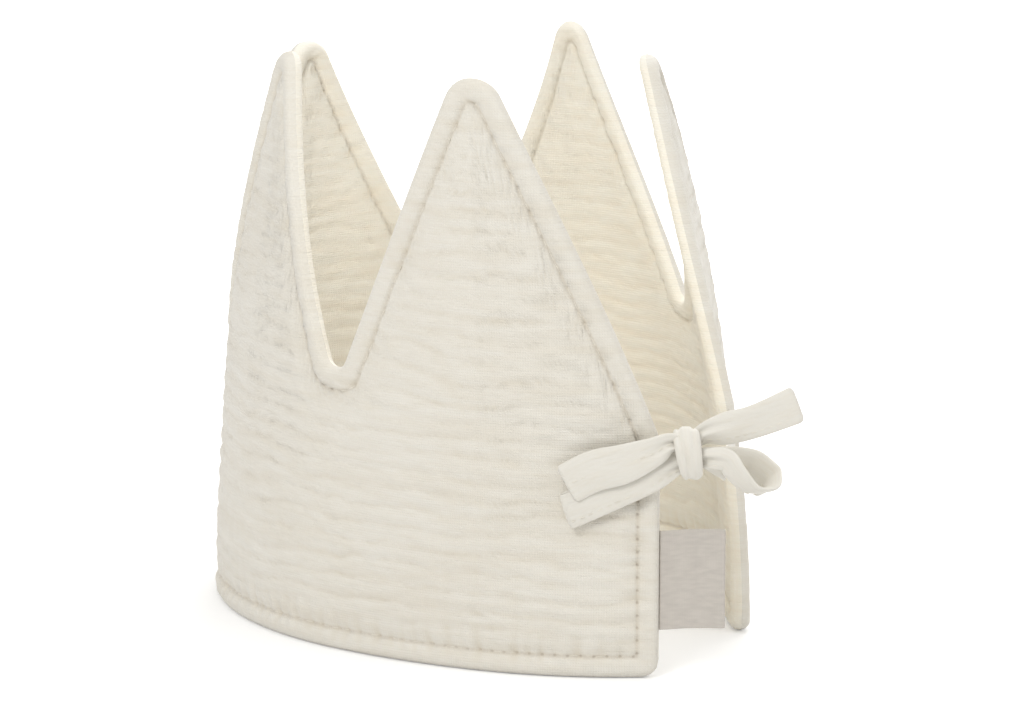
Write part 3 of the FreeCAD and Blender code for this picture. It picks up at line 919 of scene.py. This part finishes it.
class CROWN_OT_label(Operator):
    """Folds the bare woven ribbon into the seam of the near end"""
    bl_idname = "crown.label"
    bl_label = "Side Label"

    def execute(self, context):
        band = Band()
        near_end = band.station(0.0)
        outer = near_end.outer
        leaves = Vector((-outer.y, outer.x, 0))
        gap = 0.3 * MM
        radius = (gap + band.ribbon_thickness) / 2
        straight = band.label_length - radius - band.ribbon_thickness / 2
        total = 2 * straight + math.pi * radius
        taper = 0.1 * MM
        shape = bmesh.new()
        bmesh.ops.create_grid(shape, x_segments=2 * LABEL_RUNS, y_segments=LABEL_RISES, size=1.0)
        flat = {}
        for vertex in shape.verts:
            turn = vertex.co.x + 1
            face = 1 if turn < 1 else -1
            run = total * min(turn, 2 - turn)
            row = round((vertex.co.y + 1) / 2 * LABEL_RISES)
            rise = ribbon_rise(row, band.label_height)
            thin = {0: 0.0, 1: 0.7}.get(min(row, LABEL_RISES - row), 1.0)
            thin *= min(1.0, run / taper, (total - run) / taper)
            reach, depth = ribbon_spot(run, straight, radius, face * thin * band.ribbon_thickness / 2)
            x, z = reach / MM, rise / MM
            wave = 0.30 * MM * math.sin(x / 5.0 + z / 19.0) * smooth_step(0.0, 8.0, x)
            droop = 0.25 * MM * math.sin(x / 4.6) * smooth_step(0.0, 6.0, x)
            start = band.stand(near_end, band.label_bottom + rise, 0.0)
            vertex.co = start + leaves * reach + outer * (depth + wave) + Vector((0, 0, droop))
            flat[vertex.index] = (run, rise)
        lay_flat(shape, "run", flat)
        closed_up(shape)
        piece = piece_from(shape, "label_ribbon", label_material())
        tied_up(piece, "label_ribbon", "side_label")
        return {"FINISHED"}


def lamp(name, place, target, size, power):
    """Round area lamp that faces its target."""
    light = bpy.data.lights.new(name, "AREA")
    light.shape = "DISK"
    light.size = size
    light.energy = power
    holder = bpy.data.objects.new(name, light)
    holder.location = place
    holder.rotation_mode = "QUATERNION"
    holder.rotation_quaternion = (Vector(target) - Vector(place)).to_track_quat("-Z", "Y")
    bpy.context.scene.collection.objects.link(holder)


def seen_directly(n):
    """Whether a ray comes from the camera, or by a mirror or a clear surface."""
    path = n.add("LightPath").outputs
    mirrored = n.math("MAXIMUM", path["Is Camera Ray"], path["Is Glossy Ray"])
    return n.math("MAXIMUM", mirrored, path["Is Transmission Ray"])


def studio_world():
    """Even, slightly warm light from all round, and pure white where it is seen directly."""
    n = Nodes(bpy.data.worlds.new("studio"))
    ambient = n.add("Background", {"Color": (1.0, 0.99, 0.97, 1.0), "Strength": AMBIENT_STRENGTH})
    white = n.add("Background", {"Color": WHITE, "Strength": 1.0})
    mix = n.add("MixShader", {0: seen_directly(n), 1: ambient.outputs[0], 2: white.outputs[0]})
    n.add("OutputWorld", {"Surface": mix.outputs[0]})
    return n.owner


def floor_material():
    """Pale floor that fades to white away from the crown, where it is seen directly."""
    n = Nodes(bpy.data.materials.new("floor"))
    plain = n.add("BsdfDiffuse", {"Color": opaque(colours().floor)})
    place = n.add("TexCoord").outputs["Object"]
    reach = n.add("VectorMath", {0: place}, operation="LENGTH").outputs["Value"]
    strength = n.math("MULTIPLY", seen_directly(n), n.spread(reach, 0.10, 0.50, 0.24, 0.62))
    glow = n.add("Emission", {"Color": WHITE, "Strength": strength})
    both = n.add("AddShader", {0: plain.outputs[0], 1: glow.outputs[0]})
    n.add("OutputMaterial", {"Surface": both.outputs[0]})
    return n.owner


class CROWN_OT_stage(Operator):
    """Sets up the pale floor, the soft light and the camera"""
    bl_idname = "crown.stage"
    bl_label = "Stage"

    def execute(self, context):
        scene = context.scene
        scene.view_settings.view_transform = "Standard"
        scene.world = studio_world()
        floor_shape = bmesh.new()
        bmesh.ops.create_grid(floor_shape, x_segments=1, y_segments=1, size=6.0)
        piece_from(floor_shape, "floor", floor_material())
        for row in LAMPS:
            lamp(*row)
        camera = bpy.data.cameras.new("camera")
        camera.sensor_width = 36.0
        camera.lens = FOCAL_LENGTH
        camera.clip_end = 20.0
        holder = bpy.data.objects.new("camera", camera)
        holder.location = CAMERA_PLACE
        holder.rotation_mode = "QUATERNION"
        pitch = math.radians(CAMERA_PITCH)
        ahead = Vector((0, math.cos(pitch), -math.sin(pitch)))
        up = Vector((0, math.sin(pitch), math.cos(pitch)))
        right, above = (pixels / FOCAL_PIXELS for pixels in AIM_PIXELS)
        aim = ahead + Vector((1, 0, 0)) * right + up * above
        holder.rotation_quaternion = aim.to_track_quat("-Z", "Y")
        scene.collection.objects.link(holder)
        scene.camera = holder
        return {"FINISHED"}


class CROWN_PT_panel(Panel):
    """Lists the pieces of the crown"""
    bl_label = "Fabric Crown"
    bl_idname = "CROWN_PT_panel"
    bl_space_type = "VIEW_3D"
    bl_region_type = "UI"
    bl_category = "Crown"

    def draw(self, context):
        for group in (context.scene.crown_sizes, context.scene.crown_colours):
            for name in group.__annotations__:
                self.layout.prop(group, name)
        for operator in OPERATORS:
            self.layout.operator(operator.bl_idname)


OPERATORS = (CROWN_OT_stage, CROWN_OT_band_cloth, CROWN_OT_hem_stitches, CROWN_OT_ties, CROWN_OT_knot,
             CROWN_OT_label)
CLASSES = (CrownSizes, CrownColours, *OPERATORS, CROWN_PT_panel)


def register():
    for cls in CLASSES:
        bpy.utils.register_class(cls)
    bpy.types.Scene.crown_sizes = PointerProperty(type=CrownSizes)
    bpy.types.Scene.crown_colours = PointerProperty(type=CrownColours)


def unregister():
    del bpy.types.Scene.crown_colours
    del bpy.types.Scene.crown_sizes
    for cls in reversed(CLASSES):
        bpy.utils.unregister_class(cls)


def main():
    register()
    bpy.ops.crown.stage()
    bpy.ops.crown.band_cloth()
    bpy.ops.crown.hem_stitches()
    bpy.ops.crown.ties()
    bpy.ops.crown.knot()
    bpy.ops.crown.label()


if __name__ == "__main__":
    main()
